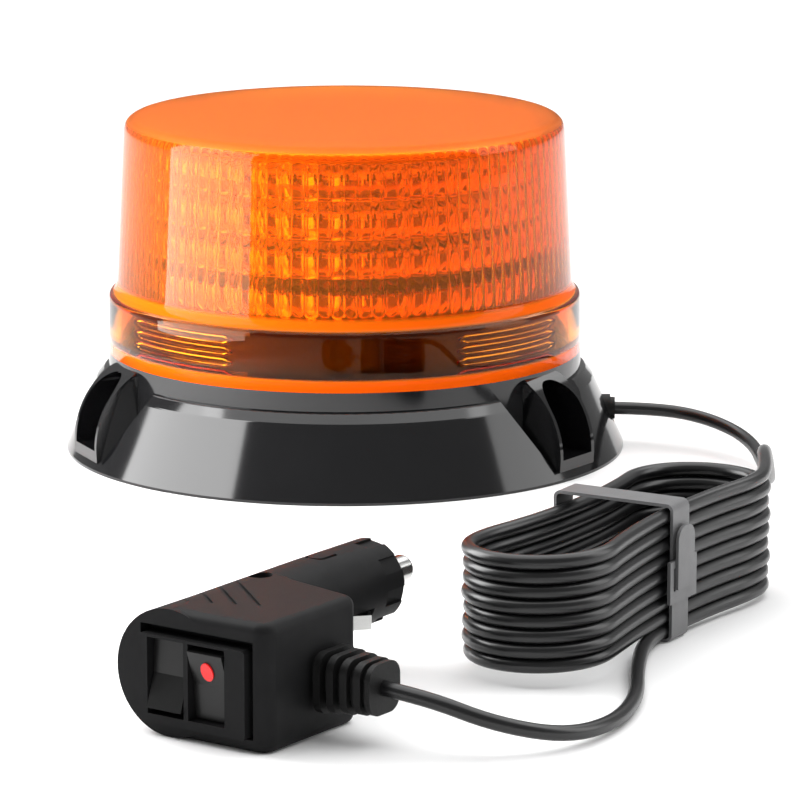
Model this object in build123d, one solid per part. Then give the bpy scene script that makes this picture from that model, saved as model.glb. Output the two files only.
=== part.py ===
from build123d import *
import math
import os

# LED safety beacon on a three-bolt base, with a bundled lead and a 12 V switch plug.
# Millimetres, +Z up, the beacon stands on z = 0 with its axis on the origin.

# ---------------------------------------------------------------- driving dimensions
BASE_R = 84.0          # skirt radius at the mounting face
RIM_H = 0.8            # upright edge of the skirt
SHOULDER_R = 74.6      # skirt radius just below the rounded shoulder
SHOULDER_Z = 21.6
NECK_R = 71.0          # plain band between skirt and lens
NECK_Z0 = 24.4
NECK_Z1 = 30.1         # lens sits here
CAVITY_R = 66.2
DECK_Z0 = 24.6
DECK_Z1 = 27.0

COLLAR_TOP = 47.4      # lower, wider part of the lens
LEDGE_TOP = 50.4
DOME_R0 = 68.2         # dome radius at the ledge
DOME_R1 = 65.8         # dome radius near the top
LENS_TOP = 100.0
LENS_WALL = 2.8

BOLT_PCD = 130.0       # three-bolt mounting circle
BOLT_HOLE = 8.6
POCKET_ANGLES = (84.0, 204.0, 324.0)
POCKET_HALF = 7.5      # half the clear width of a bolt pocket
FIN_T = 1.4            # thin wall each side of a pocket
POCKET_FLOOR = 6.6
POCKET_TOP = 27.9
POCKET_IN_R = 57.0

PLATE_Z0 = 1.2
PLATE_Z1 = 3.2
PLATE_R = 59.2         # cover plate recess, inside the bolt circle
PLATE_SCREW_R = 55.2
PLATE_SCREW_ANGLES = (40.0, 100.0, 160.0, 220.0, 280.0, 340.0)

BOARD_Z = 5.6          # underside of the driver board
BOARD_T = 1.6
BOARD_R = 51.0

OPTIC_ROWS = 4
OPTIC_Z0 = 48.4
OPTIC_PITCH = 11.4
OPTIC_R = 52.4         # front of the reflector rows
OPTIC_BACK_R = 45.0
LEDS_PER_ROW = 40
TOWER_SCREW_R = 38.2
TOWER_SCREW_ANGLES = (45.0, 135.0, 225.0, 315.0)

CORD_D = 3.8
CORD_R = CORD_D / 2.0
EXIT_ANGLE = -2.0      # where the cord leaves the skirt
EXIT_Z = 11.0
GROMMET_END = 81.4

HANK_POS = (70.0, -221.0)
HANK_TURN = 59.0       # long axis of the bundle, from +X
HANK_HALF = 43.0       # centre of each rounded end from the middle
HANK_END_R = 18.0      # centreline radius of each end
HANK_WAIST = 14.0      # centreline half width under the strap
HANK_Z0 = 0.8          # strap thickness lies under the turns
HANK_TURNS = 9
STRAP_W = 9.0
STRAP_T = 0.8

PLUG_POS = (-36.0, -320.0)
PLUG_TURN = 54.0       # direction the nose points, from +X
HOUSING_H = 31.0
HOUSING_L = 40.0
HOUSING_RIGHT = -22.0  # cord side
BARREL_Y = 8.5
BARREL_R = 10.5        # 21 mm accessory plug
BARREL_Z = HOUSING_H - BARREL_R
BARREL_END = 73.0
CAP_END = 86.0
CONTACT_END = 98.0
BORE_R = 4.3
ROOM_END = 33.0
RELIEF_X = 23.0
RELIEF_Z = 14.0
RELIEF_TIP = -39.0
ROCKER_W = 10.0
ROCKER_H = 17.0
ROCKER_Y = (6.6, -5.4)  # left rocker, right rocker
ROCKER_Z = 14.6
ROCKER_PIN_X = 2.6
ROCKER_TILT = 11.0

OUT = {}


# ---------------------------------------------------------------- helpers
def turned(points):
    """Solid of revolution about Z from (radius, height) points."""
    face = make_face(Polyline(*points, close=True))
    return revolve(Plane.XZ * face, Axis.Z)


def ring(r_out, r_in, z0, z1):
    return Pos(0, 0, z0) * extrude(Circle(r_out) - Circle(r_in), z1 - z0)


def rod(r, z0, z1, x=0.0, y=0.0):
    return Pos(x, y, z0) * extrude(Circle(r), z1 - z0)


def block(x0, x1, y0, y1, z0, z1):
    return Pos((x0 + x1) / 2, (y0 + y1) / 2, (z0 + z1) / 2) * Box(x1 - x0, y1 - y0, z1 - z0)


def polar(r, angle):
    a = math.radians(angle)
    return r * math.cos(a), r * math.sin(a)


def along_x(r, x0, x1, y, z):
    """Round bar parallel to X."""
    return Plane(origin=(x0, y, z), x_dir=(0, 1, 0), z_dir=(1, 0, 0)) * extrude(Circle(r), x1 - x0)


def corner_radii(points):
    """Bend radius at every corner from the shorter neighbouring run and the turn."""
    vecs = [Vector(*b) - Vector(*a) for a, b in zip(points, points[1:])]
    radii = []
    for v, w in zip(vecs, vecs[1:]):
        half_turn = math.radians(v.get_angle(w)) / 2
        radii.append(0.45 * min(v.length, w.length) / math.tan(half_turn))
    return radii


def cord_tube(name, points):
    radii = corner_radii(points)
    wire = FilletPolyline(*points, radius=radii)
    plane = Plane(origin=points[0], z_dir=wire % 0)
    tube = sweep(plane * Circle(CORD_R), path=wire)
    area = math.pi * CORD_R ** 2
    print(name, "radii", [round(r, 1) for r in radii], "length", round(wire.length, 1),
          "volume ratio", round(tube.volume / (area * wire.length), 4))
    return tube


def keep(name, *solids):
    OUT[name] = Compound(children=[s for item in solids for s in item.solids()]) \
        if sum(len(item.solids()) for item in solids) > 1 else solids[0].solids()[0]
    OUT[name].label = name


def at_plug(shape):
    return Pos(PLUG_POS[0], PLUG_POS[1], 0) * Rot(0, 0, PLUG_TURN) * shape


def at_hank(shape):
    return Pos(HANK_POS[0], HANK_POS[1], 0) * Rot(0, 0, HANK_TURN) * shape


# ---------------------------------------------------------------- beacon: black base
def skirt_body():
    outer = turned([(0, 0), (BASE_R, 0), (BASE_R, RIM_H), (SHOULDER_R, SHOULDER_Z),
                    (SHOULDER_R - 2.4, NECK_Z0), (NECK_R, NECK_Z0 + 0.2), (NECK_R, NECK_Z1),
                    (0, NECK_Z1)])
    shoulder = outer.edges().filter_by(GeomType.CIRCLE).filter_by(
        lambda e: abs(e.center().Z - SHOULDER_Z) < 0.1 or abs(e.center().Z - NECK_Z0) < 0.1)
    return fillet(shoulder, 1.3)


def pocket_profile(half, z0, z1, corner):
    sketch = Pos(0, (z0 + z1) / 2) * Rectangle(2 * half, z1 - z0)
    top = sketch.vertices().group_by(Axis.Y)[-1]
    return fillet(top, corner)


def radial_slot(half, z0, z1, corner, r0, r1):
    plane = Plane(origin=(r0, 0, 0), x_dir=(0, 1, 0), z_dir=(1, 0, 0))
    return extrude(plane * pocket_profile(half, z0, z1, corner), r1 - r0)


def fin_outline(half):
    """Side view of the two pocket walls: upright at the rim, arched up to the neck."""
    top = POCKET_TOP + 1.3
    arc = ThreePointArc((BASE_R - 0.3, 4.2), (81.2, 18.2), (NECK_R - 0.4, top))
    lines = Polyline((NECK_R - 0.4, top), (POCKET_IN_R - FIN_T, top), (POCKET_IN_R - FIN_T, 0),
                     (BASE_R - 0.3, 0), (BASE_R - 0.3, 4.2))
    face = make_face(Curve() + arc + lines)
    return extrude(Plane.XZ * face, half, both=True)


def scallop(side):
    """Hollow beside a pocket wall: it opens from a point at the rim up to the neck."""
    edge = POCKET_HALF + FIN_T
    tip = Vector(BASE_R, side * edge, 1.4)
    inner = Vector(NECK_R - 0.2, side * edge, 14.0)
    outer = Vector(NECK_R - 0.9, side * (edge + 11.5), 25.0)
    normal = (inner - tip).cross(outer - tip).normalized()
    if normal.X < 0:
        normal = normal * -1
    cut = extrude(Plane(origin=tip, z_dir=normal) * Rectangle(160, 160), 60)
    window = block(60, 100, min(side * edge, side * 40), max(side * edge, side * 40), 1.4, 32)
    return (cut & window) - rod(NECK_R, -1, 40)


def base_housing():
    body = skirt_body()
    body -= rod(CAVITY_R, PLATE_Z1, DECK_Z0)
    body -= rod(PLATE_R, -1, PLATE_Z1)
    body -= rod(14.0, DECK_Z0 - 1, NECK_Z1 + 1)
    body -= ring(CAVITY_R, 13.0, DECK_Z1, NECK_Z1 + 1)
    body -= ring(69.6, CAVITY_R - 1, NECK_Z1 - 0.9, NECK_Z1 + 1)
    hollow = turned([(68.6, -1), (81.2, -1), (80.6, 4.4), (73.0, 19.6), (68.6, 21.4)])
    keep_out = Sketch() + [Rot(0, 0, a) * Pos(75, 0) * Rectangle(50, 50) for a in POCKET_ANGLES]
    keep_out += Rot(0, 0, EXIT_ANGLE) * Pos(75, 0) * Rectangle(50, 13)
    body -= hollow - Pos(0, 0, -2) * extrude(keep_out, 40)
    for angle in PLATE_SCREW_ANGLES:
        body += rod(3.2, PLATE_Z1, DECK_Z0, *polar(PLATE_SCREW_R, angle))
    for angle in POCKET_ANGLES:
        spin = Rot(0, 0, angle)
        walls = radial_slot(POCKET_HALF + FIN_T, PLATE_Z1, POCKET_TOP + 1.3, 1.4,
                            POCKET_IN_R - FIN_T, BASE_R + 4)
        body -= spin * scallop(1)
        body -= spin * scallop(-1)
        body += spin * (walls & fin_outline(POCKET_HALF + FIN_T))
        body -= spin * radial_slot(POCKET_HALF, POCKET_FLOOR, POCKET_TOP, 6.9,
                                   POCKET_IN_R, BASE_R + 8)
        body -= spin * rod(BOLT_HOLE / 2, -1, POCKET_FLOOR + 1, BOLT_PCD / 2)
    for angle in PLATE_SCREW_ANGLES:
        body -= rod(1.5, 0, 12.0, *polar(PLATE_SCREW_R, angle))
    hole = Rot(0, 0, EXIT_ANGLE) * along_x(4.2, 60, 90, 0, EXIT_Z)
    return body - hole


def base_plate():
    plate = rod(PLATE_R - 0.2, PLATE_Z0, PLATE_Z1)
    for angle in PLATE_SCREW_ANGLES:
        plate -= rod(1.7, 0, 5, *polar(PLATE_SCREW_R, angle))
    for x, y in ((30, 30), (-30, 30), (-30, -30), (30, -30)):
        plate += rod(3.2, PLATE_Z1, BOARD_Z, x, y)
    return plate


def base_gasket():
    pad = ring(PLATE_R - 0.2, 46.0, 0, PLATE_Z0)
    for angle in PLATE_SCREW_ANGLES:
        pad -= rod(3.2, -1, 3, *polar(PLATE_SCREW_R, angle))
    return pad


def plate_screws():
    screws = []
    for angle in PLATE_SCREW_ANGLES:
        x, y = polar(PLATE_SCREW_R, angle)
        head = rod(2.9, 0.2, PLATE_Z0, x, y) - Pos(x, y, 0.2) * Box(3.2, 0.7, 0.9)
        screws.append(head + rod(1.5, PLATE_Z0, 11.0, x, y))
    return screws


# ---------------------------------------------------------------- beacon: lens and optics
def lens_cover():
    outer = turned([(0, NECK_Z1), (NECK_R, NECK_Z1), (NECK_R - 0.3, COLLAR_TOP),
                    (DOME_R0, LEDGE_TOP), (DOME_R1, LENS_TOP - 4), (DOME_R1, LENS_TOP),
                    (0, LENS_TOP)])
    top = outer.edges().filter_by(GeomType.CIRCLE).filter_by(
        lambda e: abs(e.center().Z - LENS_TOP) < 0.1)
    outer = fillet(top, 3.9)
    ledge = outer.edges().filter_by(GeomType.CIRCLE).filter_by(
        lambda e: abs(e.center().Z - COLLAR_TOP) < 0.1)
    outer = fillet(ledge, 1.2)
    w = LENS_WALL
    inner = turned([(0, NECK_Z1 - 1), (NECK_R - w, NECK_Z1 - 1), (NECK_R - w - 0.3, COLLAR_TOP - 1.6),
                    (DOME_R0 - w, LEDGE_TOP - 1.2), (DOME_R1 - w, LENS_TOP - 5.2),
                    (DOME_R1 - w - 2.2, LENS_TOP - w), (0, LENS_TOP - w)])
    return outer - inner


def optic_pedestal():
    """Black ring wall behind the lens collar with the shelf the tower stands on."""
    wall = ring(63.6, 61.4, NECK_Z1 - 0.6, 46.2)
    shelf = ring(63.6, 14.0, 46.2, OPTIC_Z0)
    feet = ring(20.0, 17.6, DECK_Z1, 46.2)
    return wall + shelf + feet


def led_reflector():
    points = [(OPTIC_BACK_R, OPTIC_Z0)]
    for row in range(OPTIC_ROWS):
        z = OPTIC_Z0 + row * OPTIC_PITCH
        points += [(OPTIC_R, z), (OPTIC_R, z + 0.4), (47.6, z + 3.6), (46.6, z + OPTIC_PITCH / 2),
                   (47.6, z + OPTIC_PITCH - 3.6), (OPTIC_R, z + OPTIC_PITCH - 0.4)]
    top = OPTIC_Z0 + OPTIC_ROWS * OPTIC_PITCH
    points += [(OPTIC_R, top), (OPTIC_BACK_R, top)]
    body = turned(points)
    windows = []
    for row in range(OPTIC_ROWS):
        z = OPTIC_Z0 + (row + 0.5) * OPTIC_PITCH
        for k in range(LEDS_PER_ROW):
            windows.append(Rot(0, 0, (k + 0.5) * 360.0 / LEDS_PER_ROW) * Pos(46, 0, z) * Box(4, 3.4, 3.4))
    return body - windows


def led_board():
    return ring(43.4, 41.8, OPTIC_Z0, OPTIC_Z0 + OPTIC_ROWS * OPTIC_PITCH)


def led_chips():
    chips = []
    for row in range(OPTIC_ROWS):
        z = OPTIC_Z0 + (row + 0.5) * OPTIC_PITCH
        for k in range(LEDS_PER_ROW):
            chips.append(Rot(0, 0, (k + 0.5) * 360.0 / LEDS_PER_ROW)
                         * Pos(43.95, 0, z) * Box(1.1, 2.8, 2.8))
    return chips


def tower_core():
    top = OPTIC_Z0 + OPTIC_ROWS * OPTIC_PITCH
    core = ring(41.8, 38.4, OPTIC_Z0, top)
    hub = ring(12.0, 7.0, OPTIC_Z0, top)
    webs = [Rot(0, 0, a) * block(11.0, 39.0, -1.2, 1.2, OPTIC_Z0, top) for a in (0, 90, 180, 270)]
    for web in webs:
        core += web
    for angle in TOWER_SCREW_ANGLES:
        core += rod(3.4, OPTIC_Z0, top, *polar(TOWER_SCREW_R, angle))
        core -= rod(1.5, top - 9, top + 1, *polar(TOWER_SCREW_R, angle))
    return core + hub


def tower_cap():
    z = OPTIC_Z0 + OPTIC_ROWS * OPTIC_PITCH
    cap = rod(OPTIC_R, z, z + 1.4)
    cap += ring(30.0, 27.6, z + 1.4, z + 2.2)
    for angle in TOWER_SCREW_ANGLES:
        cap -= rod(1.6, z - 1, z + 3, *polar(TOWER_SCREW_R, angle))
    return cap


def tower_screws():
    z = OPTIC_Z0 + OPTIC_ROWS * OPTIC_PITCH
    screws = []
    for angle in TOWER_SCREW_ANGLES:
        x, y = polar(TOWER_SCREW_R, angle)
        head = rod(2.7, z + 1.4, z + 2.6, x, y) - Pos(x, y, z + 2.6) * Box(3.4, 0.7, 1.2) \
            - Pos(x, y, z + 2.6) * Box(0.7, 3.4, 1.2)
        screws.append(head + rod(1.5, z - 8, z + 1.4, x, y))
    return screws


# ---------------------------------------------------------------- beacon: driver and cord entry
def driver_board():
    board = rod(BOARD_R, BOARD_Z, BOARD_Z + BOARD_T)
    return board


def driver_capacitors():
    z = BOARD_Z + BOARD_T
    cans = []
    for x, y in ((-20, 12), (-20, -4), (-8, 22)):
        can = rod(5.0, z, z + 14.0, x, y)
        can = fillet(can.edges().group_by(Axis.Z)[-1], 0.7)
        cans.append(can)
    return cans


def driver_inductor():
    z = BOARD_Z + BOARD_T
    body = rod(6.4, z, z + 2.0, 12, -20) + rod(4.6, z + 2.0, z + 7.0, 12, -20)
    return body + rod(6.4, z + 7.0, z + 9.0, 12, -20)


def driver_chips():
    z = BOARD_Z + BOARD_T
    chips = [block(-2, 5, -4, 1, z, z + 1.6), block(16, 26, -2, 6, z, z + 2.3),
             block(-30, -24, -24, -18, z, z + 1.6), block(0, 12, 24, 29, z, z + 2.3)]
    return chips


def terminal_block():
    z = BOARD_Z + BOARD_T
    body = Rot(0, 0, EXIT_ANGLE) * block(30, 40, -7, 7, z, z + 9.0)
    for y in (-3.5, 3.5):
        body -= Rot(0, 0, EXIT_ANGLE) * rod(1.9, z + 7.6, z + 12, 35, y)
    return body


def internal_lead():
    return Rot(0, 0, EXIT_ANGLE) * along_x(CORD_R, 40.0, BASE_R - 9, 0, EXIT_Z)


def cable_grommet():
    spin = Rot(0, 0, EXIT_ANGLE)
    sleeve = along_x(4.2, 65.9, 80.0, 0, EXIT_Z)
    flange = along_x(5.6, 63.2, 65.9, 0, EXIT_Z)
    nose = along_x(3.3, 80.0, GROMMET_END, 0, EXIT_Z)
    bore = along_x(CORD_R, 60, 90, 0, EXIT_Z)
    grommet = sleeve + flange + nose
    return spin * (grommet - bore)


# ---------------------------------------------------------------- cord, bundle and strap
def hank_xy(x, y):
    a = math.radians(HANK_TURN)
    return (HANK_POS[0] + x * math.cos(a) - y * math.sin(a),
            HANK_POS[1] + x * math.sin(a) + y * math.cos(a))


def plug_xy(x, y):
    a = math.radians(PLUG_TURN)
    return (PLUG_POS[0] + x * math.cos(a) - y * math.sin(a),
            PLUG_POS[1] + x * math.sin(a) + y * math.cos(a))


HANK_TOP = HANK_Z0 + HANK_TURNS * CORD_D
JOIN_ANGLE = -63.0     # where the lead runs onto the far end of the top turn
JOIN = hank_xy(HANK_HALF + HANK_END_R * math.cos(math.radians(JOIN_ANGLE)),
               HANK_END_R * math.sin(math.radians(JOIN_ANGLE)))
RELIEF_END = plug_xy(RELIEF_X, RELIEF_TIP)

LEAD_POINTS = [
    (*polar(BASE_R - 9, EXIT_ANGLE), EXIT_Z),
    (*polar(BASE_R + 10, EXIT_ANGLE), EXIT_Z),
    (109.6, -12.0, 9.6),
    (120.5, -28.8, 6.8),
    (122.0, -60.0, 5.0),
    (119.5, -97.0, 10.0),
    (115.6, -128.0, 24.0),
    (112.0, -156.0, HANK_TOP - CORD_R),
    (*JOIN, HANK_TOP - CORD_R),
]

TAIL_POINTS = [
    (*hank_xy(2.0, -HANK_WAIST), HANK_Z0 + CORD_R),
    (*hank_xy(-15.0, -HANK_WAIST - 0.6), HANK_Z0 + CORD_R),
    (*hank_xy(-40.0, -25.5), 2.4),
    (70.0, -291.0, 2.2),
    (63.5, -313.0, 2.2),
    (51.0, -329.0, 3.6),
    (34.0, -335.5, 8.5),
    (*plug_xy(RELIEF_X, RELIEF_TIP - 12.0), RELIEF_Z - 0.4),
    (*plug_xy(RELIEF_X, RELIEF_TIP + 2.0), RELIEF_Z),
]


def hank_outline(grow):
    """Closed pinched loop: two round ends joined by two shallow inward arcs."""
    c = HANK_HALF
    waist_r = (c * c + HANK_WAIST ** 2 - HANK_END_R ** 2) / (2 * (HANK_END_R - HANK_WAIST))
    reach = waist_r + HANK_END_R
    ux = c / reach
    uy = (HANK_WAIST + waist_r) / reach
    r = HANK_END_R + grow
    tx = c - r * ux
    ty = r * uy
    w = HANK_WAIST + grow
    arcs = [ThreePointArc((tx, ty), (c + r, 0), (tx, -ty)), ThreePointArc((tx, -ty), (0, -w), (-tx, -ty)),
            ThreePointArc((-tx, -ty), (-c - r, 0), (-tx, ty)), ThreePointArc((-tx, ty), (0, w), (tx, ty))]
    return make_face(Curve() + arcs)


def cord_hank():
    ring_face = hank_outline(CORD_R) - hank_outline(-CORD_R)
    body = Pos(0, 0, HANK_Z0) * extrude(ring_face, HANK_TOP - HANK_Z0)
    ends = body.edges().filter_by(lambda e: e.center().Z > HANK_TOP - 0.01 or e.center().Z < HANK_Z0 + 0.01)
    body = fillet(ends, 1.2)
    return at_hank(body)


def strap_loop(x_half, y_half, z0, z1, corner):
    """Rounded-rectangle ring bar around the waist, wide along X."""
    plane = Plane(origin=(-x_half, 0, 0), x_dir=(0, 1, 0), z_dir=(1, 0, 0))
    outline = Pos(0, (z0 + z1) / 2) * RectangleRounded(2 * y_half, z1 - z0, corner)
    return extrude(plane * outline, 2 * x_half)


def hank_strap():
    side = HANK_WAIST + CORD_R + 0.35
    outer = strap_loop(STRAP_W / 2, side + STRAP_T, HANK_Z0 - STRAP_T, HANK_TOP + STRAP_T, 1.9)
    inner = strap_loop(STRAP_W, side, HANK_Z0, HANK_TOP, 1.1)
    return at_hank(outer - inner)


def strap_buckle():
    """Slotted keeper plate on the near face with the rounded tongue threaded through."""
    y = -(HANK_WAIST + CORD_R + 0.35 + STRAP_T)
    plate = block(-7.3, 7.3, y - 0.9, y, 10.5, 21.5)
    for sx in (-1, 1):
        plate -= block(sx * 4.9 - 0.5, sx * 4.9 + 0.5, y - 2, y + 1, 13.6, 19.6)
    plane = Plane(origin=(0, y - 0.9, 0), x_dir=(1, 0, 0), z_dir=(0, -1, 0))
    tongue = Pos(0, 22.0) * Rectangle(9.0, 16.0)
    tongue = fillet(tongue.vertices().group_by(Axis.Y)[-1], 3.6)
    return at_hank(plate + extrude(plane * tongue, 0.8))


# ---------------------------------------------------------------- plug
def ring_section(y, z, r, x):
    return Plane(origin=(x, y, z), x_dir=(0, 1, 0), z_dir=(1, 0, 0)) * Circle(r)


def plug_outer():
    """Rounded switch housing that narrows into the round accessory barrel."""
    big = HOUSING_H / 2
    grip = loft([ring_section(6.5, big, big, 0.0), ring_section(6.5, big, big, 16.0),
                 ring_section(BARREL_Y, BARREL_Z, BARREL_R, 57.0)], ruled=True)
    barrel = along_x(BARREL_R, 57.0, BARREL_END, BARREL_Y, BARREL_Z)
    plan = make_face(Polyline((0, 6.5), (0, HOUSING_RIGHT), (36, HOUSING_RIGHT), (41, 0.0), (44, 6.5),
                              close=True))
    corners = plan.vertices().filter_by(lambda v: v.Y < -1)
    plan = fillet(corners, 4.0)
    case = extrude(plan, HOUSING_H)
    case = fillet(case.edges().filter_by(
        lambda e: (e.center().Z > HOUSING_H - 0.01 or e.center().Z < 0.01)
        and e.center().Y < 6.0 and e.center().X > 0.05), 2.4)
    return case + grip + barrel


def plug_cavity():
    room = block(12.0, ROOM_END, -19.0, 5.0, 3.0, HOUSING_H - 3.0)
    room += block(12.0, 24.0, 5.0, 12.6, 6.0, HOUSING_H - 3.0)
    panel = block(-1, 12.0, -18.0, 14.9, 3.2, HOUSING_H - 4.4)
    bore = along_x(BORE_R, 42.5, BARREL_END + 1, BARREL_Y, BARREL_Z)
    return room, panel, bore


def lid_region():
    """Upper cover: everything above the parting line, inset from the housing edges."""
    plan = make_face(Polyline((4.0, 17.0), (4.0, -18.4), (33.0, -18.4), (37.0, -2.0), (46.0, -0.5),
                              (46.0, 17.0), close=True))
    plan = fillet(plan.vertices().filter_by(lambda v: v.Y < -10), 3.0)
    return Pos(0, 0, HOUSING_H - 3.0) * extrude(plan, 6.0)


SCREW_AT = (38.2, 8.5)
SCREW_SEAT = HOUSING_H - 4.6


def grip_grooves():
    cuts = []
    for k, half in enumerate((14.0, 11.0, 8.0, 5.0)):
        x = 24.0 - 4.2 * k
        cut = Pos(x, 2.0 + 3.0 * k, HOUSING_H) * Rot(0, 0, 50) * Box(2 * half, 0.9, 1.2)
        cuts.append(cut)
    return cuts


def plug_shells():
    outer = plug_outer()
    room, panel, bore = plug_cavity()
    body = outer - room - panel - bore
    region = lid_region()
    lid = outer & region
    lid += rod(4.6, SCREW_SEAT - 1.2, HOUSING_H - 2.0, *SCREW_AT)
    lid -= rod(1.6, HOUSING_H - 10, HOUSING_H + 1, *SCREW_AT)
    lid -= rod(3.0, SCREW_SEAT, HOUSING_H + 1, *SCREW_AT)
    for cut in grip_grooves():
        lid -= cut
    gap = Pos(0, 0, HOUSING_H - 0.7) * extrude(offset(region.faces().sort_by(Axis.Z)[-1], 0.35), 5)
    seat = region
    body -= seat
    body -= along_x(6.2, BARREL_END - 6.0, BARREL_END + 1, BARREL_Y, BARREL_Z)
    body -= gap & Pos(0, 0, 0) * block(0, 60, -30, 30, HOUSING_H - 0.7, HOUSING_H + 3)
    body -= rod(4.6, SCREW_SEAT - 1.2, HOUSING_H, *SCREW_AT)
    body -= rod(1.5, SCREW_SEAT - 8.0, HOUSING_H, *SCREW_AT)
    # latch tongue outline moulded on the barrel
    tongue = SlotOverall(11.0, 5.6) - SlotOverall(9.4, 4.0)
    tongue -= Pos(4.6, 0) * Rectangle(4.4, 7.0)
    mark = Pos(63.5, BARREL_Y, BARREL_Z + BARREL_R - 0.9) * extrude(tongue, 2.0)
    body -= mark
    # slots the side contacts work through
    for side in (-1, 1):
        body -= block(60.5, 71.5, BARREL_Y + side * 6.0 - 4.6, BARREL_Y + side * 6.0 + 4.6,
                      BARREL_Z - 8.6, BARREL_Z - 3.4) & side_slot(side)
    # hole for the cord bush
    body -= block(RELIEF_X - 5.0, RELIEF_X + 5.0, HOUSING_RIGHT - 1, HOUSING_RIGHT + 4,
                  RELIEF_Z - 5.0, RELIEF_Z + 5.0)
    return body, lid


def side_slot(side):
    return block(60.0, 72.0, BARREL_Y - 12, BARREL_Y + 12, BARREL_Z - 12, BARREL_Z + 2) \
        - along_x(BORE_R + 1.0, 55, 80, BARREL_Y, BARREL_Z)


def plug_screw():
    x, y = SCREW_AT
    top = SCREW_SEAT + 1.4
    head = rod(2.8, SCREW_SEAT, top, x, y)
    head -= Pos(x, y, top) * Box(4.0, 0.8, 1.2)
    head -= Pos(x, y, top) * Box(0.8, 4.0, 1.2)
    return head + rod(1.5, SCREW_SEAT - 7.0, SCREW_SEAT, x, y)


def switch_bezel():
    """Raised panel the two rockers sit in; a dark gap shows over it and to its right."""
    panel = block(-1.4, 4.0, -16.6, 14.6, 3.2, HOUSING_H - 6.4)
    panel = fillet(panel.edges().filter_by(Axis.X), 1.0)
    panel += block(4.0, 6.0, -18.0, 14.9, 3.2, HOUSING_H - 4.4)
    for y in ROCKER_Y:
        half = ROCKER_W / 2 + 0.35
        panel -= block(-3, 8, y - half, y + half, ROCKER_Z - ROCKER_H / 2 - 0.75,
                       ROCKER_Z + ROCKER_H / 2 + 0.75)
        panel -= Plane(origin=(ROCKER_PIN_X, y, ROCKER_Z), x_dir=(1, 0, 0), z_dir=(0, 1, 0)) \
            * extrude(Circle(0.83), 7.0, both=True)
    return panel


def rocker(y, tilt):
    """Two flats meeting in a shallow V, turned about the cross pin."""
    h = ROCKER_H / 2
    points = [(-0.6 - ROCKER_PIN_X, -h), (0.5 - ROCKER_PIN_X, 0), (-0.6 - ROCKER_PIN_X, h),
              (2.4 - ROCKER_PIN_X, h), (4.6 - ROCKER_PIN_X, 1.6), (4.6 - ROCKER_PIN_X, -1.6),
              (2.4 - ROCKER_PIN_X, -h)]
    side = make_face(Polyline(*points, close=True))
    body = extrude(Plane.XZ * side, ROCKER_W / 2, both=True)
    body -= Plane(origin=(0, 0, 0), x_dir=(1, 0, 0), z_dir=(0, 1, 0)) * extrude(Circle(0.83), 9, both=True)
    return Pos(ROCKER_PIN_X, y, ROCKER_Z) * Rot(0, tilt, 0) * body


def rocker_pin(y):
    return Plane(origin=(ROCKER_PIN_X, y, ROCKER_Z), x_dir=(1, 0, 0), z_dir=(0, 1, 0)) \
        * extrude(Circle(0.8), ROCKER_W / 2 + 0.9, both=True)


def indicator_lens(y, tilt):
    """Red window let into the upper flat of the right rocker."""
    h = ROCKER_H / 2
    slope = math.degrees(math.atan2(1.1, h))
    face = Plane(origin=(0, 0, 0), x_dir=(0, 1, 0), z_dir=(-1, 0, 0))
    body = extrude(face * Ellipse(1.7, 2.4), 1.5)
    body = Pos(1.1 - ROCKER_PIN_X, 0, h * 0.47) * Rot(0, -slope, 0) * body
    return Pos(ROCKER_PIN_X, y, ROCKER_Z) * Rot(0, tilt, 0) * body


def switch_bodies():
    parts = []
    for y in ROCKER_Y:
        box = block(8.4, 18.0, y - 5.2, y + 5.2, ROCKER_Z - 8.0, ROCKER_Z + 8.0)
        for dz in (-4.5, 0.0, 4.5):
            box += block(18.0, 23.0, y - 2.0, y + 2.0, ROCKER_Z + dz - 0.4, ROCKER_Z + dz + 0.4)
        parts.append(box)
    return parts


def nose_cap():
    cap = along_x(BARREL_R, BARREL_END, CAP_END, BARREL_Y, BARREL_Z)
    tip = cap.edges().filter_by(GeomType.CIRCLE).filter_by(lambda e: e.center().X > CAP_END - 0.1)
    cap = chamfer(tip, 2.6)
    cap += along_x(6.2, BARREL_END - 6.0, BARREL_END, BARREL_Y, BARREL_Z)
    for k in range(8):
        spin = Pos(0, BARREL_Y, BARREL_Z) * Rot(k * 45.0 + 12.0, 0, 0)
        cap -= spin * block(BARREL_END + 3.4, CAP_END + 1, -2.1, 2.1, BARREL_R - 0.9, BARREL_R + 2)
    cap -= along_x(4.1, BARREL_END - 7, CAP_END - 3.0, BARREL_Y, BARREL_Z)
    return cap - along_x(3.6, BARREL_END - 7, CAP_END + 1, BARREL_Y, BARREL_Z)


def centre_contact():
    pin = along_x(3.5, CAP_END - 5.0, CONTACT_END, BARREL_Y, BARREL_Z)
    pin = fillet(pin.edges().filter_by(lambda e: e.center().X > CONTACT_END - 0.1), 1.4)
    return pin + along_x(4.0, CAP_END - 7.0, CAP_END - 5.0, BARREL_Y, BARREL_Z)


def contact_spring():
    coil = Helix(pitch=2.0, height=10.0, radius=2.9)
    wire = sweep(Plane(origin=coil @ 0, z_dir=coil % 0) * Circle(0.35), path=coil)
    lay = Plane(origin=(CAP_END - 17.4, BARREL_Y, BARREL_Z), x_dir=(0, 1, 0), z_dir=(1, 0, 0))
    return lay * wire


def glass_fuse():
    tube = along_x(3.2, 43.0, 67.8, BARREL_Y, BARREL_Z)
    return tube


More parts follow.
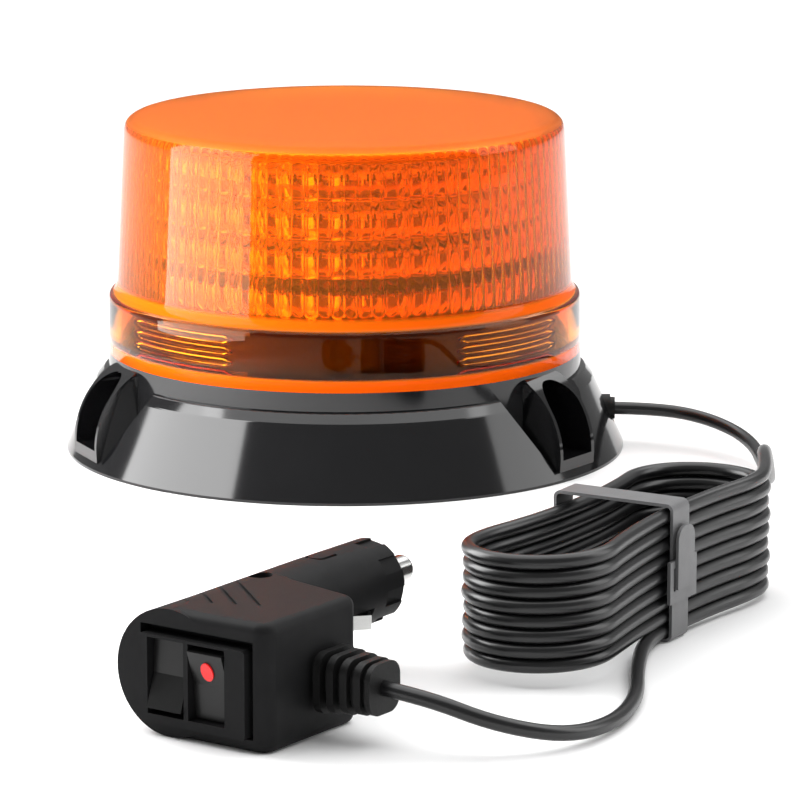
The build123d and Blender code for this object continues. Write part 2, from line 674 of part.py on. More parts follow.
def side_contact(side):
    """Bent leaf that stands out of the barrel and springs against the socket wall."""
    y = BARREL_Y + side * BARREL_R
    pts = [(61.6, y - side * 3.4), (62.4, y - side * 3.4), (66.6, y + side * 1.0), (70.4, y - side * 2.2),
           (70.9, y - side * 1.6), (66.7, y + side * 1.9), (61.6, y - side * 2.6)]
    face = make_face(Polyline(*pts, close=True))
    return Pos(0, 0, BARREL_Z - 7.4) * extrude(face, 3.6)


def strain_relief():
    """Ribbed bush: square neck, four ribs and a thicker end collar."""
    plane = Plane(origin=(RELIEF_X, HOUSING_RIGHT + 3.0, RELIEF_Z), x_dir=(1, 0, 0), z_dir=(0, -1, 0))
    bush = plane * extrude(RectangleRounded(10.0, 10.0, 2.0), 3.0)
    body = Plane(origin=(RELIEF_X, HOUSING_RIGHT, RELIEF_Z), x_dir=(1, 0, 0), z_dir=(0, -1, 0))
    core = body * extrude(RectangleRounded(10.4, 10.4, 3.0), -RELIEF_TIP + HOUSING_RIGHT)
    bush += core
    for k in range(4):
        size = 14.8 - 0.7 * k
        y = 1.6 + 3.6 * k
        rib = Plane(origin=(RELIEF_X, HOUSING_RIGHT - y, RELIEF_Z), x_dir=(1, 0, 0), z_dir=(0, -1, 0))
        bush += rib * extrude(RectangleRounded(size, size, 3.6), 2.0)
    end = Plane(origin=(RELIEF_X, HOUSING_RIGHT - 15.6, RELIEF_Z), x_dir=(1, 0, 0), z_dir=(0, -1, 0))
    bush += end * extrude(RectangleRounded(12.4, 12.4, 4.0), -RELIEF_TIP + HOUSING_RIGHT - 15.6)
    hole = Plane(origin=(RELIEF_X, HOUSING_RIGHT + 4, RELIEF_Z), x_dir=(1, 0, 0), z_dir=(0, -1, 0))
    return bush - hole * extrude(Circle(CORD_R), 40)


# ---------------------------------------------------------------- assemble
def build_beacon():
    keep("base_housing", base_housing())
    keep("base_plate", base_plate())
    keep("base_gasket", base_gasket())
    keep("base_plate_screws", *plate_screws())
    keep("lens_cover", lens_cover())
    keep("lens_seal", ring(69.6, 66.4, NECK_Z1 - 0.9, NECK_Z1))
    keep("optic_pedestal", optic_pedestal())
    keep("led_reflector", led_reflector())
    keep("led_board", led_board())
    keep("led_chips", *led_chips())
    keep("tower_core", tower_core())
    keep("tower_cap", tower_cap())
    keep("tower_screws", *tower_screws())
    keep("driver_board", driver_board())
    keep("driver_capacitors", *driver_capacitors())
    keep("driver_inductor", driver_inductor())
    keep("driver_chips", *driver_chips())
    keep("terminal_block", terminal_block())
    keep("cable_grommet", cable_grommet())


def build_cord():
    keep("cord_lead", cord_tube("cord_lead", LEAD_POINTS))
    keep("cord_tail", cord_tube("cord_tail", TAIL_POINTS))
    keep("cord_hank", cord_hank())
    keep("internal_lead", internal_lead())
    keep("hank_strap", hank_strap())
    keep("strap_buckle", strap_buckle())


def build_plug():
    body, lid = plug_shells()
    keep("plug_body", at_plug(body))
    keep("plug_lid", at_plug(lid))
    keep("plug_screw", at_plug(plug_screw()))
    keep("switch_bezel", at_plug(switch_bezel()))
    keep("rocker_left", at_plug(rocker(ROCKER_Y[0], ROCKER_TILT)))
    window = indicator_lens(ROCKER_Y[1], -ROCKER_TILT)
    keep("rocker_right", at_plug(rocker(ROCKER_Y[1], -ROCKER_TILT) - window))
    keep("rocker_pins", at_plug(rocker_pin(ROCKER_Y[0])), at_plug(rocker_pin(ROCKER_Y[1])))
    keep("indicator_lens", at_plug(window))
    keep("switch_bodies", *[at_plug(s) for s in switch_bodies()])
    keep("nose_cap", at_plug(nose_cap()))
    keep("centre_contact", at_plug(centre_contact()))
    keep("contact_spring", at_plug(contact_spring()))
    keep("glass_fuse", at_plug(glass_fuse()))
    keep("side_contact_left", at_plug(side_contact(1)))
    keep("side_contact_right", at_plug(side_contact(-1)))
    keep("strain_relief", at_plug(strain_relief()))


if __name__ == "__main__":
    os.makedirs("parts", exist_ok=True)
    build_beacon()
    build_cord()
    build_plug()
    for name, shape in OUT.items():
        export_step(shape, os.path.join("parts", name + ".step"))
        print(name, len(shape.solids()), "solids, volume", round(shape.volume, 1))
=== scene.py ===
import bpy
import math
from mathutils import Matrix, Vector


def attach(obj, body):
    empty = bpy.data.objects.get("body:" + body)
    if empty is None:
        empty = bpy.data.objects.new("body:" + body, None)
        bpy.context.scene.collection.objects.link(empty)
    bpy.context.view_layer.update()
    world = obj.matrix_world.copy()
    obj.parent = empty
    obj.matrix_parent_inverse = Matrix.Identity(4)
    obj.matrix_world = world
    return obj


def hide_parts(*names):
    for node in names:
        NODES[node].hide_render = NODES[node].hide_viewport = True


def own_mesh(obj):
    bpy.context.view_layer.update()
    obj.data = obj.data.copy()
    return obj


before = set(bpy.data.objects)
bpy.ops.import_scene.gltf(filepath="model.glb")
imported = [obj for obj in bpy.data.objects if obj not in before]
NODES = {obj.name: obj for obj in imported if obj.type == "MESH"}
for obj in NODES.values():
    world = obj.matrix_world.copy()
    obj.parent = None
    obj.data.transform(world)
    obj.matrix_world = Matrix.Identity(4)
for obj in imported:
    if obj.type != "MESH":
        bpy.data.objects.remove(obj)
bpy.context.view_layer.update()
scene = bpy.context.scene
MM = 0.001

# ---------------------------------------------------------------- dimensions shared with the CAD, millimetres
BASE_R = 84.0
NECK_Z1 = 30.1
NECK_R = 71.0
COLLAR_TOP = 47.4
LEDGE_TOP = 50.4
DOME_R0 = 68.2
DOME_R1 = 65.8
LENS_TOP = 100.0
LENS_WALL = 2.8
OPTIC_Z0 = 48.4
OPTIC_PITCH = 11.4
OPTIC_ROWS = 4
OPTIC_R = 52.4
CUPS = 40
CORD_D = 3.8
CORD_R = CORD_D / 2
EXIT_ANGLE = -2.0
EXIT_Z = 11.0
HANK_POS = (70.0, -221.0)
HANK_TURN = 59.0
HANK_HALF = 43.0
HANK_END_R = 18.0
HANK_WAIST = 14.0
HANK_Z0 = 0.8
HANK_LAYERS = 9
HANK_TOP = HANK_Z0 + HANK_LAYERS * CORD_D
HANK_TURNS = 8         # whole turns before the last part turn to the tail
TAIL_X = 2.0           # where the tail leaves the bottom turn, along the bundle from its strap
PLUG_POS = (-36.0, -320.0)
PLUG_TURN = 54.0
RELIEF_X = 23.0
RELIEF_Z = 14.0
RELIEF_TIP = -39.0
BARREL_Y = 8.5
BARREL_Z = 20.5
SPRING_X0 = 68.6
SPRING_L = 10.0
SPRING_R = 2.9
SPRING_WIRE = 0.35
SPRING_TURNS = 5


# ---------------------------------------------------------------- helpers
def polar(r, angle):
    a = math.radians(angle)
    return r * math.cos(a), r * math.sin(a)


def placed(origin, turn, x, y):
    a = math.radians(turn)
    return (origin[0] + x * math.cos(a) - y * math.sin(a),
            origin[1] + x * math.sin(a) + y * math.cos(a))


def hank_xy(x, y):
    return placed(HANK_POS, HANK_TURN, x, y)


def plug_xy(x, y):
    return placed(PLUG_POS, PLUG_TURN, x, y)


def mesh_object(name, verts, faces):
    """Smooth mesh from points in millimetres."""
    mesh = bpy.data.meshes.new(name)
    mesh.from_pydata([(x * MM, y * MM, z * MM) for x, y, z in verts], [], faces)
    mesh.update()
    for poly in mesh.polygons:
        poly.use_smooth = True
    obj = bpy.data.objects.new(name, mesh)
    scene.collection.objects.link(obj)
    return obj


# ---------------------------------------------------------------- camera
def make_camera():
    data = bpy.data.cameras.new("camera")
    data.lens = 204.1
    data.sensor_width = 36.0
    data.clip_start = 0.05
    data.clip_end = 50.0
    cam = bpy.data.objects.new("camera", data)
    cam.location = (0.0, -1.340, 0.300)
    cam.rotation_euler = (math.radians(90.0 - 12.09), 0.0, math.radians(-0.71))
    scene.collection.objects.link(cam)
    scene.camera = cam


make_camera()

# ---------------------------------------------------------------- cord: lead, bundled turns, tail
JOIN_ANGLE = -63.0
JOIN = hank_xy(HANK_HALF + HANK_END_R * math.cos(math.radians(JOIN_ANGLE)),
               HANK_END_R * math.sin(math.radians(JOIN_ANGLE)))
LEAD_POINTS = [
    (*polar(BASE_R - 9, EXIT_ANGLE), EXIT_Z),
    (*polar(BASE_R + 10, EXIT_ANGLE), EXIT_Z),
    (109.6, -12.0, 9.6),
    (120.5, -28.8, 6.8),
    (122.0, -60.0, 5.0),
    (119.5, -97.0, 10.0),
    (115.6, -128.0, 24.0),
    (112.0, -156.0, HANK_TOP - CORD_R),
    (*JOIN, HANK_TOP - CORD_R),
]
TAIL_POINTS = [
    (*hank_xy(TAIL_X, -HANK_WAIST), HANK_Z0 + CORD_R),
    (*hank_xy(-15.0, -HANK_WAIST - 0.6), HANK_Z0 + CORD_R),
    (*hank_xy(-40.0, -25.5), 2.4),
    (70.0, -291.0, 2.2),
    (63.5, -313.0, 2.2),
    (51.0, -329.0, 3.6),
    (34.0, -335.5, 8.5),
    (*plug_xy(RELIEF_X, RELIEF_TIP - 12.0), RELIEF_Z - 0.4),
    (*plug_xy(RELIEF_X, RELIEF_TIP + 2.0), RELIEF_Z),
]


def hank_loop(s, swell):
    """Point on the pinched loop, s millimetres clockwise from the far end's tip, and the loop's length."""
    r = HANK_END_R
    waist_r = (HANK_HALF ** 2 + HANK_WAIST ** 2 - r * r) / (2 * (r - HANK_WAIST))
    half = math.asin(HANK_HALF / (waist_r + r))
    end_arc = r * (math.pi / 2 + half)
    side_arc = waist_r * 2 * half
    total = 4 * end_arc + 2 * side_arc
    s = s % total
    r += swell
    if s < end_arc:
        a = -s / HANK_END_R
        return HANK_HALF + r * math.cos(a), r * math.sin(a), total
    s -= end_arc
    if s < side_arc:
        a = half - s / waist_r
        return waist_r * math.sin(a), -(HANK_WAIST + waist_r) + waist_r * math.cos(a), total
    s -= side_arc
    if s < 2 * end_arc:
        a = -(math.pi / 2 - half) - s / HANK_END_R
        return -HANK_HALF + r * math.cos(a), r * math.sin(a), total
    s -= 2 * end_arc
    if s < side_arc:
        a = half - s / waist_r
        return -waist_r * math.sin(a), (HANK_WAIST + waist_r) - waist_r * math.cos(a), total
    s -= side_arc
    a = (math.pi / 2 + half) - s / HANK_END_R
    return HANK_HALF + r * math.cos(a), r * math.sin(a), total


def hank_points():
    """Points down the bundle from the lead's join to the tail, a turn under a turn, slightly uneven."""
    per_turn = 24
    ease = 12              # points over which the unevenness grows at each end
    swell_mid = 0.30
    swell_wave = 0.30
    wave = 2.3             # radians of the unevenness in each turn
    total = hank_loop(0.0, 0.0)[2]
    start = HANK_END_R * math.radians(-JOIN_ANGLE)
    travel = HANK_TURNS * total + total / 4 - TAIL_X - start
    steps = int(round(travel / total * per_turn))
    points = []
    for k in range(1, steps):
        s = start + travel * k / steps
        fade = min(1.0, k / ease, (steps - k) / ease)
        x, y, _ = hank_loop(s, swell_mid + swell_wave * math.sin(wave * s / total) * fade)
        z = HANK_TOP - CORD_R - (HANK_TOP - HANK_Z0 - CORD_D) * k / steps
        points.append((*hank_xy(x, y), z))
    return points


def make_cord():
    data = bpy.data.curves.new("cord", "CURVE")
    data.dimensions = "3D"
    data.resolution_u = 6
    data.bevel_depth = CORD_R * MM
    data.bevel_resolution = 5
    data.use_fill_caps = True
    spline = data.splines.new("NURBS")
    route = LEAD_POINTS + hank_points() + TAIL_POINTS
    spline.points.add(len(route) - 1)
    for point, (x, y, z) in zip(spline.points, route):
        point.co = (x * MM, y * MM, z * MM, 1.0)
    spline.order_u = 3
    spline.use_endpoint_u = True
    obj = bpy.data.objects.new("cord", data)
    scene.collection.objects.link(obj)
    return obj


# ---------------------------------------------------------------- materials
def new_material(name, **sockets):
    mat = bpy.data.materials.new(name)
    mat.use_nodes = True
    bsdf = mat.node_tree.nodes["Principled BSDF"]
    for key, value in sockets.items():
        bsdf.inputs[key.replace("_", " ")].default_value = value
    return mat, mat.node_tree, bsdf


def noise_node(tree, scale, detail=3.0, stretch=(1, 1, 1)):
    coords = tree.nodes.new("ShaderNodeTexCoord")
    mapping = tree.nodes.new("ShaderNodeMapping")
    mapping.inputs["Scale"].default_value = stretch
    noise = tree.nodes.new("ShaderNodeTexNoise")
    noise.inputs["Scale"].default_value = scale
    noise.inputs["Detail"].default_value = detail
    tree.links.new(coords.outputs["Object"], mapping.inputs["Vector"])
    tree.links.new(mapping.outputs["Vector"], noise.inputs["Vector"])
    return noise


def add_bump(tree, bsdf, source, strength, distance):
    bump = tree.nodes.new("ShaderNodeBump")
    bump.inputs["Strength"].default_value = strength
    bump.inputs["Distance"].default_value = distance
    tree.links.new(source, bump.inputs["Height"])
    tree.links.new(bump.outputs["Normal"], bsdf.inputs["Normal"])


def vary(tree, source, low, high, target):
    remap = tree.nodes.new("ShaderNodeMapRange")
    remap.inputs["To Min"].default_value = low
    remap.inputs["To Max"].default_value = high
    tree.links.new(source, remap.inputs["Value"])
    tree.links.new(remap.outputs["Result"], target)


def tint(tree, source, dark, light, target):
    mix = tree.nodes.new("ShaderNodeMix")
    mix.data_type = "RGBA"
    mix.inputs["A"].default_value = (*dark, 1)
    mix.inputs["B"].default_value = (*light, 1)
    tree.links.new(source, mix.inputs["Factor"])
    tree.links.new(mix.outputs["Result"], target)


def solid(name, dark, light, rough, metallic=0.0, grain=900.0, bump=0.15, depth=0.00004,
          spread=0.06, stretch=(1, 1, 1), **sockets):
    """Opaque material with fine grain in colour, roughness and relief."""
    mat, tree, bsdf = new_material(name, Metallic=metallic, **sockets)
    fine = noise_node(tree, grain, 4.0, stretch)
    broad = noise_node(tree, grain / 24.0, 2.0)
    tint(tree, broad.outputs["Fac"], dark, light, bsdf.inputs["Base Color"])
    vary(tree, fine.outputs["Fac"], rough - spread, rough + spread, bsdf.inputs["Roughness"])
    add_bump(tree, bsdf, fine.outputs["Fac"], bump, depth)
    return mat


COLLAR_RAMP = (30.0, 60.0)     # heights between which CLEAR_STOPS are shares
CLEAR_STOPS = ((0.10, 0.15), (0.13, 1.0), (0.575, 1.0), (0.60, 0.25), (0.66, 0.25), (0.70, 0.90))
MILKY_AMBER = (1.0, 0.090, 0.002, 1.0)
CLEAR_AMBER = (1.0, 0.30, 0.006, 1.0)
WALL_ROUGHNESS = 0.02
TOP_ROUGHNESS = 0.75


def amber_material():
    """Clear amber, milky in the thick ledge and foot bands of the collar and frosted on the flat top."""
    mat, tree, bsdf = new_material("amber", IOR=1.5, Specular_IOR_Level=0.05,
                                   Specular_Tint=(0.42, 0.33, 0.26, 1.0))
    coords = tree.nodes.new("ShaderNodeTexCoord")
    split = tree.nodes.new("ShaderNodeSeparateXYZ")
    tree.links.new(coords.outputs["Object"], split.inputs["Vector"])
    height = tree.nodes.new("ShaderNodeMapRange")
    height.inputs["From Min"].default_value = COLLAR_RAMP[0] * MM
    height.inputs["From Max"].default_value = COLLAR_RAMP[1] * MM
    tree.links.new(split.outputs["Z"], height.inputs["Value"])
    clear = tree.nodes.new("ShaderNodeValToRGB")
    tree.links.new(height.outputs["Result"], clear.inputs["Fac"])
    stops = clear.color_ramp.elements
    for k, (position, value) in enumerate(CLEAR_STOPS):
        stop = stops[k] if k < 2 else stops.new(position)
        stop.position = position
        stop.color = (value, value, value, 1.0)
    tree.links.new(clear.outputs["Color"], bsdf.inputs["Transmission Weight"])
    milky = tree.nodes.new("ShaderNodeMix")
    milky.data_type = "RGBA"
    milky.inputs["A"].default_value = MILKY_AMBER
    milky.inputs["B"].default_value = CLEAR_AMBER
    tree.links.new(clear.outputs["Color"], milky.inputs["Factor"])
    tree.links.new(milky.outputs["Result"], bsdf.inputs["Base Color"])
    frost = tree.nodes.new("ShaderNodeMapRange")
    frost.inputs["From Min"].default_value = (LENS_TOP - 2.5) * MM
    frost.inputs["From Max"].default_value = (LENS_TOP - 0.5) * MM
    frost.inputs["To Min"].default_value = WALL_ROUGHNESS
    frost.inputs["To Max"].default_value = TOP_ROUGHNESS
    tree.links.new(split.outputs["Z"], frost.inputs["Value"])
    tree.links.new(frost.outputs["Result"], bsdf.inputs["Roughness"])
    return mat


def grey(value, blue=0.0):
    return value, value, value + blue


def build_materials():
    m = {}
    m["amber"] = amber_material()
    m["base"] = solid("base_gloss", grey(0.004, 0.0005), grey(0.006, 0.0005), 0.10, grain=2600, bump=0.02,
                      spread=0.02, Specular_IOR_Level=0.5)
    m["satin"] = solid("plug_satin", grey(0.011, 0.0005), grey(0.016, 0.0005), 0.50, grain=5200,
                       bump=0.25, depth=0.00003, Specular_IOR_Level=0.08)
    m["inner"] = solid("inner_black", grey(0.006), (0.012, 0.010, 0.009), 0.42, grain=1800)
    m["rubber"] = solid("rubber", grey(0.004), grey(0.007), 0.50, grain=2400, bump=0.3,
                        Specular_IOR_Level=0.22)
    m["cord"] = solid("cord_pvc", grey(0.005), grey(0.008, 0.001), 0.30, grain=2200, bump=0.06,
                      spread=0.03, Specular_IOR_Level=0.5)
    m["strap"] = solid("strap_grey", grey(0.105, 0.003), grey(0.15, 0.003), 0.42, grain=5200, bump=0.5,
                       depth=0.00006)
    m["chrome"] = solid("metallised", grey(0.80), grey(0.92), 0.09, 1.0, grain=900, bump=0.05)
    m["nickel"] = solid("nickel", grey(0.46, -0.01), grey(0.58, -0.01), 0.20, 1.0, grain=1600, bump=0.1,
                        stretch=(1, 1, 6))
    m["steel"] = solid("zinc_steel", grey(0.55, 0.01), grey(0.70), 0.32, 1.0, grain=1400)
    m["blackened"] = solid("black_oxide", grey(0.030, 0.002), grey(0.045, 0.003), 0.36, 0.6, grain=1600)
    m["alu"] = solid("aluminium", (0.60, 0.61, 0.62), grey(0.75, 0.01), 0.36, 1.0, grain=1200,
                     stretch=(1, 1, 8))
    m["board"] = solid("board_white", (0.62, 0.61, 0.58), (0.75, 0.74, 0.70), 0.42, grain=1500)
    m["green"] = solid("board_green", (0.01, 0.06, 0.02), (0.02, 0.10, 0.04), 0.35, grain=1500)
    m["led"] = solid("led_yellow", (0.75, 0.50, 0.06), (0.88, 0.64, 0.10), 0.30, grain=1500)
    m["chip"] = solid("chip_black", grey(0.012, 0.001), grey(0.03), 0.5, grain=2600)
    m["terminal"] = solid("terminal_dark", (0.006, 0.012, 0.008), (0.010, 0.018, 0.012), 0.4, grain=1600)
    m["rocker"] = solid("rocker_black", grey(0.005), grey(0.008), 0.34, grain=3600, bump=0.12,
                        Specular_IOR_Level=0.35)
    # Painted glow: the emission makes the indicator window shine as if lit from inside.
    m["red_painted_glow"] = solid("red_window", (0.55, 0.004, 0.006), (0.80, 0.012, 0.014), 0.12, grain=1800, bump=0.02,
                     spread=0.03, Emission_Color=(1.0, 0.02, 0.02, 1.0), Emission_Strength=0.35)
    m["fuse"] = new_material("fuse_glass", Transmission_Weight=1.0, Roughness=0.03, IOR=1.5)[0]
    return m


MATERIALS = build_materials()
NODES_BY_MATERIAL = {
    "base": ("base_housing",),
    "satin": ("base_plate", "plug_body", "plug_lid", "switch_bezel", "nose_cap"),
    "rubber": ("base_gasket", "lens_seal", "cable_grommet", "strain_relief"),
    "steel": ("base_plate_screws", "tower_screws", "rocker_pins"),
    "inner": ("optic_pedestal",),
    "board": ("led_board", "tower_cap"),
    "led": ("led_chips",),
    "alu": ("tower_core",),
    "green": ("driver_board",),
    "chip": ("driver_capacitors", "driver_inductor", "driver_chips", "switch_bodies"),
    "terminal": ("terminal_block",),
    "cord": ("internal_lead",),
    "strap": ("hank_strap", "strap_buckle"),
    "blackened": ("plug_screw",),
    "rocker": ("rocker_left", "rocker_right"),
    "red_painted_glow": ("indicator_lens",),
    "nickel": ("centre_contact", "side_contact_left", "side_contact_right"),
    "fuse": ("glass_fuse",),
}


def dress(obj, key):
    obj.data.materials.clear()
    obj.data.materials.append(MATERIALS[key])


def dress_cad():
    for key, nodes in NODES_BY_MATERIAL.items():
        for node in nodes:
            for slot in NODES[node].material_slots:
                slot.material = MATERIALS[key]


# ---------------------------------------------------------------- amber lens
FLUTES = 108
FLUTE_DEPTH = 0.55
PLAIN_HALF = 26.5      # half width of the plain collar zones, degrees
BAR_Z = (33.6, 36.9, 40.2, 43.5)
BAR_HALF_H = 1.15
BAR_DEPTH = 0.9
BAR_HALF_W = 45.0 - PLAIN_HALF - 1.2   # degrees
BAR_POINT = 3.0        # degrees over which a bar narrows to its point


def rib_bump(angle, z):
    """Pointed horizontal bars inside the collar, between the four plain zones."""
    off = 45.0 - abs((angle + 45.0) % 90.0 - 45.0)
    taper = min(1.0, (BAR_HALF_W - off) / BAR_POINT)
    if taper <= 0.0:
        return 0.0
    best = 0.0
    for centre in BAR_Z:
        d = abs(z - centre) / (BAR_HALF_H * max(taper, 0.05))
        if d < 1.0:
            best = max(best, (1.0 - d * d) ** 0.5)
    return BAR_DEPTH * best


def flute_bump(angle):
    u = (angle * FLUTES / 360.0) % 1.0
    return FLUTE_DEPTH * (1.0 - (2.0 * u - 1.0) ** 2)


def lens_outer_profile():
    """(radius, height) from the bottom edge up to the middle of the top."""
    pts = [(NECK_R, NECK_Z1), (NECK_R - 0.1, 36.0), (NECK_R - 0.25, COLLAR_TOP - 1.4)]
    for k in range(1, 6):
        a = math.radians(90.0 * k / 5)
        pts.append((NECK_R - 1.55 + 1.3 * math.cos(a), COLLAR_TOP - 1.3 + 1.3 * math.sin(a)))
    pts += [(DOME_R0 + 0.5, LEDGE_TOP - 1.3), (DOME_R0 + 0.08, LEDGE_TOP - 0.2),
            (DOME_R0 - 0.1, LEDGE_TOP + 1.2)]
    pts += [(DOME_R0 + (DOME_R1 - DOME_R0) * t, LEDGE_TOP + (LENS_TOP - 4.6 - LEDGE_TOP) * t)
            for t in (0.2, 0.4, 0.6, 0.8, 1.0)]
    for k in range(1, 9):
        a = math.radians(90.0 * k / 8)
        pts.append((DOME_R1 - 4.2 + 4.2 * math.cos(a), LENS_TOP - 4.2 + 4.2 * math.sin(a)))
    pts += [(r, LENS_TOP) for r in (50.0, 30.0, 8.0)]
    return pts


def lens_inner_profile():
    """(radius, height, flute weight, rib weight) from the bottom edge up to the middle of the top."""
    w = LENS_WALL
    pts = [(NECK_R - w, NECK_Z1, 0.0, 0.0)]
    steps = 40
    for k in range(steps + 1):
        pts.append((NECK_R - w - 0.2, 31.0 + (45.4 - 31.0) * k / steps, 0.0, 1.0))
    pts += [(NECK_R - w - 0.9, 46.4, 0.0, 0.0), (DOME_R0 - w + 0.6, 48.6, 0.0, 0.0),
            (DOME_R0 - w, LEDGE_TOP - 0.4, 0.4, 0.0)]
    z0 = LEDGE_TOP + 0.4
    z1 = LENS_TOP - w - 4.0
    for k in range(9):
        t = k / 8
        pts.append((DOME_R0 - w + (DOME_R1 - DOME_R0) * t, z0 + (z1 - z0) * t, 1.0, 0.0))
    for k in range(1, 7):
        a = math.radians(90.0 * k / 6)
        out = 2.6 * (math.cos(a) - 1.0)
        up = 2.6 * (math.sin(a) - 1.0)
        pts.append((DOME_R1 - w + out, LENS_TOP - w + up, 1.0 - k / 6, 0.0))
    pts += [(r, LENS_TOP - w, 0.0, 0.0) for r in (50.0, 30.0, 8.0)]
    return pts


def lens_rings(columns):
    """Closed skin: outer surface down to the bottom edge, then the inner surface back up."""
    verts = []
    outer = lens_outer_profile()[::-1]
    inner = lens_inner_profile()
    for r, z in outer:
        for c in range(columns):
            verts.append((*polar(r, 360.0 * c / columns), z))
    for r, z, flute, rib in inner:
        for c in range(columns):
            angle = 360.0 * c / columns
            radius = r - flute * flute_bump(angle)
            if rib > 0.0:
                radius -= rib_bump(angle + 90.0, z)
            verts.append((*polar(radius, angle), z))
    return verts, len(outer) + len(inner)


def make_lens():
    columns = FLUTES * 8
    verts, rings = lens_rings(columns)
    faces = []
    for ring in range(rings - 1):
        for c in range(columns):
            d = (c + 1) % columns
            a = ring * columns
            faces.append((a + c, a + columns + c, a + columns + d, a + d))
    top = len(verts)
    verts.append((0.0, 0.0, LENS_TOP))
    verts.append((0.0, 0.0, LENS_TOP - LENS_WALL))
    last = (rings - 1) * columns
    for c in range(columns):
        d = (c + 1) % columns
        faces.append((top, c, d))
        faces.append((top + 1, last + d, last + c))
    obj = mesh_object("lens_shell", verts, faces)
    dress(obj, "amber")
    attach(obj, "beacon")
    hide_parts("lens_cover")


# ---------------------------------------------------------------- reflector
CUP_FLOOR = 46.6
CUP_CURVE = 0.118      # rise per square millimetre from the LED
CUP_MID_R = 49.0       # radius at which a cup's width is measured
CUP_ACROSS = 12        # faces across a cup
CUP_UP = 14            # faces up a cup


def cup_radius(du, dz):
    """Radius on a paraboloid around each LED whose corners rise into ridges."""
    return min(OPTIC_R, CUP_FLOOR + CUP_CURVE * (du * du + dz * dz))


def led_hole(row, column):
    """True for the four middle faces of a cup, where its LED looks through."""
    return row % CUP_UP in (6, 7) and column % CUP_ACROSS in (5, 6)


def make_reflector():
    columns = CUPS * CUP_ACROSS
    rows = OPTIC_ROWS * CUP_UP
    cup_width = 2 * math.pi * CUP_MID_R / CUPS
    verts = []
    for j in range(rows + 1):
        z = OPTIC_Z0 + OPTIC_ROWS * OPTIC_PITCH * j / rows
        dz = ((j / CUP_UP) % 1.0 - 0.5) * OPTIC_PITCH
        for i in range(columns):
            du = ((i / CUP_ACROSS) % 1.0 - 0.5) * cup_width
            verts.append((*polar(cup_radius(du, dz), 360.0 * i / columns), z))
    faces = []
    for j in range(rows):
        for i in range(columns):
            if not led_hole(j, i):
                d = (i + 1) % columns
                faces.append((j * columns + i, j * columns + d, (j + 1) * columns + d, (j + 1) * columns + i))
    obj = mesh_object("reflector_cups", verts, faces)
    dress(obj, "chrome")
    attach(obj, "beacon")
    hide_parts("led_reflector")
    solidify = obj.modifiers.new("wall", "SOLIDIFY")
    solidify.thickness = 0.0006
    solidify.offset = -1.0


# ---------------------------------------------------------------- spring behind the centre contact
def make_contact_coil():
    """Coil spring behind the centre contact, carried with the nose cap's body."""
    steps = 36 * SPRING_TURNS
    sides = 8
    verts = []
    for k in range(steps + 1):
        turn = 2 * math.pi * SPRING_TURNS * k / steps
        along = SPRING_X0 + SPRING_L * k / steps
        for i in range(sides):
            around = 2 * math.pi * i / sides
            r = SPRING_R + SPRING_WIRE * math.cos(around)
            x, y = plug_xy(along + SPRING_WIRE * math.sin(around), BARREL_Y + r * math.cos(turn))
            verts.append((x, y, BARREL_Z + r * math.sin(turn)))
    faces = [tuple(range(sides)), tuple(range(steps * sides, (steps + 1) * sides))[::-1]]
    for k in range(steps):
        for i in range(sides):
            j = (i + 1) % sides
            faces.append((k * sides + i, (k + 1) * sides + i, (k + 1) * sides + j, k * sides + j))
    obj = mesh_object("contact_coil", verts, faces)
    dress(obj, "steel")
    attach(obj, "nose_cap_body")
    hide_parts("contact_spring")
    seat = SPRING_X0 - SPRING_WIRE
    x, y = plug_xy(seat, BARREL_Y)
    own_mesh(obj)
    return obj


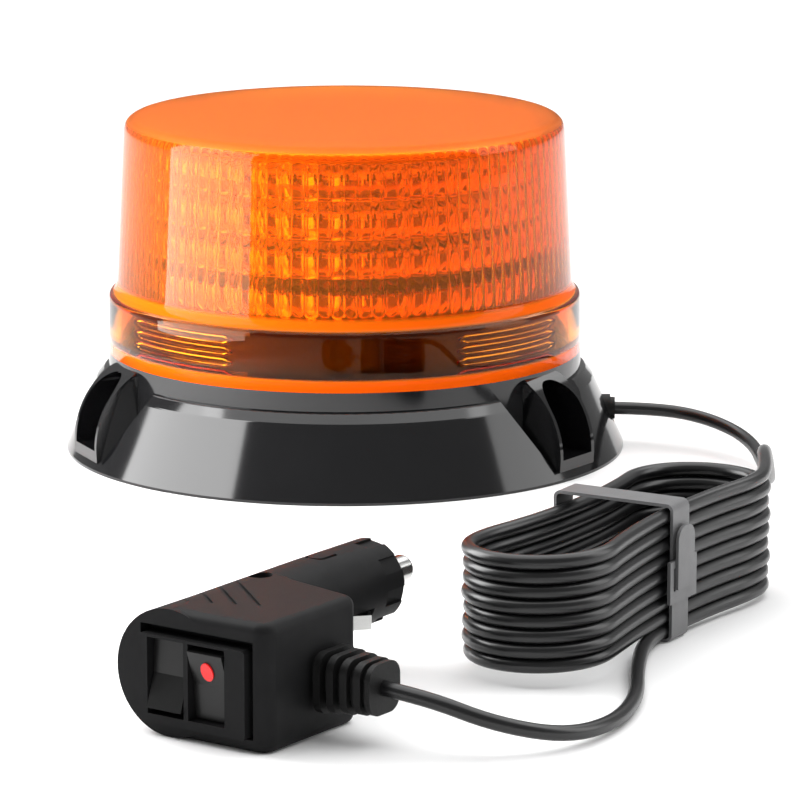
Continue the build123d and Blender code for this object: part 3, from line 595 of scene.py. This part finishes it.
# ---------------------------------------------------------------- light and floor
def area_light(name, location, target, size_x, size_y, power):
    data = bpy.data.lights.new(name, "AREA")
    data.shape = "RECTANGLE"
    data.size = size_x
    data.size_y = size_y
    data.energy = power
    light = bpy.data.objects.new(name, data)
    light.location = location
    direction = Vector(target) - Vector(location)
    light.rotation_euler = direction.to_track_quat("-Z", "Y").to_euler()
    scene.collection.objects.link(light)


def make_world():
    """Even grey surround, a shade darker on the viewer's side."""
    world = bpy.data.worlds.new("studio")
    world.use_nodes = True
    tree = world.node_tree
    coords = tree.nodes.new("ShaderNodeTexCoord")
    split = tree.nodes.new("ShaderNodeSeparateXYZ")
    tree.links.new(coords.outputs["Generated"], split.inputs["Vector"])
    depth = tree.nodes.new("ShaderNodeMapRange")
    depth.interpolation_type = "SMOOTHSTEP"
    depth.inputs["From Min"].default_value = -0.75
    depth.inputs["From Max"].default_value = 0.30
    depth.inputs["To Min"].default_value = 0.32
    depth.inputs["To Max"].default_value = 0.35
    tree.links.new(split.outputs["Y"], depth.inputs["Value"])
    tree.links.new(depth.outputs["Result"], tree.nodes["Background"].inputs["Color"])
    tree.nodes["Background"].inputs["Strength"].default_value = 1.0
    scene.world = world


def make_studio():
    make_world()
    area_light("left_softbox", (-0.24, -0.128, 0.16), (0.0, -0.128, 0.16), 0.245, 0.28, 2.0)
    area_light("top_softbox", (0.0, 0.8, 2.4), (0.0, 0.5, 0.0), 4.4, 4.0, 125.0)
    area_light("right_softbox", (0.9, -0.1, 0.5), (0.03, -0.1, 0.05), 0.5, 0.9, 4.0)
    half = 8.0
    floor = bpy.data.meshes.new("floor")
    corners = [(-half, -half, 0), (half, -half, 0), (half, half, 0), (-half, half, 0)]
    floor.from_pydata(corners, [], [(0, 1, 2, 3)])
    obj = bpy.data.objects.new("floor", floor)
    scene.collection.objects.link(obj)
    mat = solid("floor_white", grey(0.90), grey(0.93), 0.8, grain=30, bump=0.0)
    obj.data.materials.append(mat)
    scene.view_settings.view_transform = "Standard"


# ---------------------------------------------------------------- assemble
cord = make_cord()
cord.data.materials.append(MATERIALS["cord"])
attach(cord, "beacon")
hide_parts("cord_lead", "cord_hank", "cord_tail")
coil = make_contact_coil()

dress_cad()
make_lens()
make_reflector()
make_studio()
